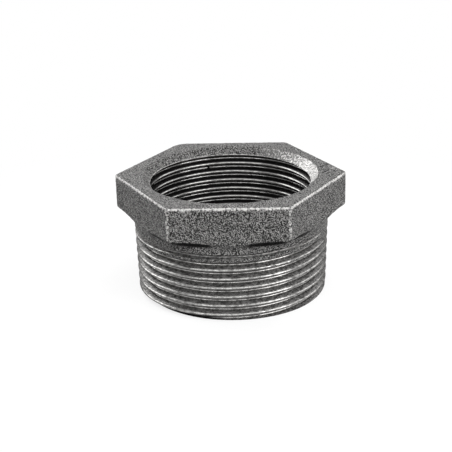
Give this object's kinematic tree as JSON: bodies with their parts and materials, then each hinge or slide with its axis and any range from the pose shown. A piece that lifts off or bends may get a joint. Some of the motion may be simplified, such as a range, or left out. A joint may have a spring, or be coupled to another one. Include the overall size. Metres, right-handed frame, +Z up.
{
  "type": "hexagon reducing bush",
  "caption": "Cast iron pipe reducer: a short hexagon bush with a tapered male pipe thread outside and a smaller female pipe thread right through it.",
  "frame": {"origin": "middle of the flat face at the male end, on the pipe axis, where the bush stands", "axes": "+Z runs up the pipe axis to the mouth in the hexagon, -Y faces a flat of the hexagon, and its corners lie on the X axis"},
  "size_m": [0.0568, 0.0494, 0.0292],
  "materials": {
    "black_iron": "rough dark cast skin on the hexagon and neck, bare machined iron in the threads and on the mouth chamfer"
  },
  "bodies": {
    "root": {"reducing_bush": "black_iron"}
  },
  "joints": []
}
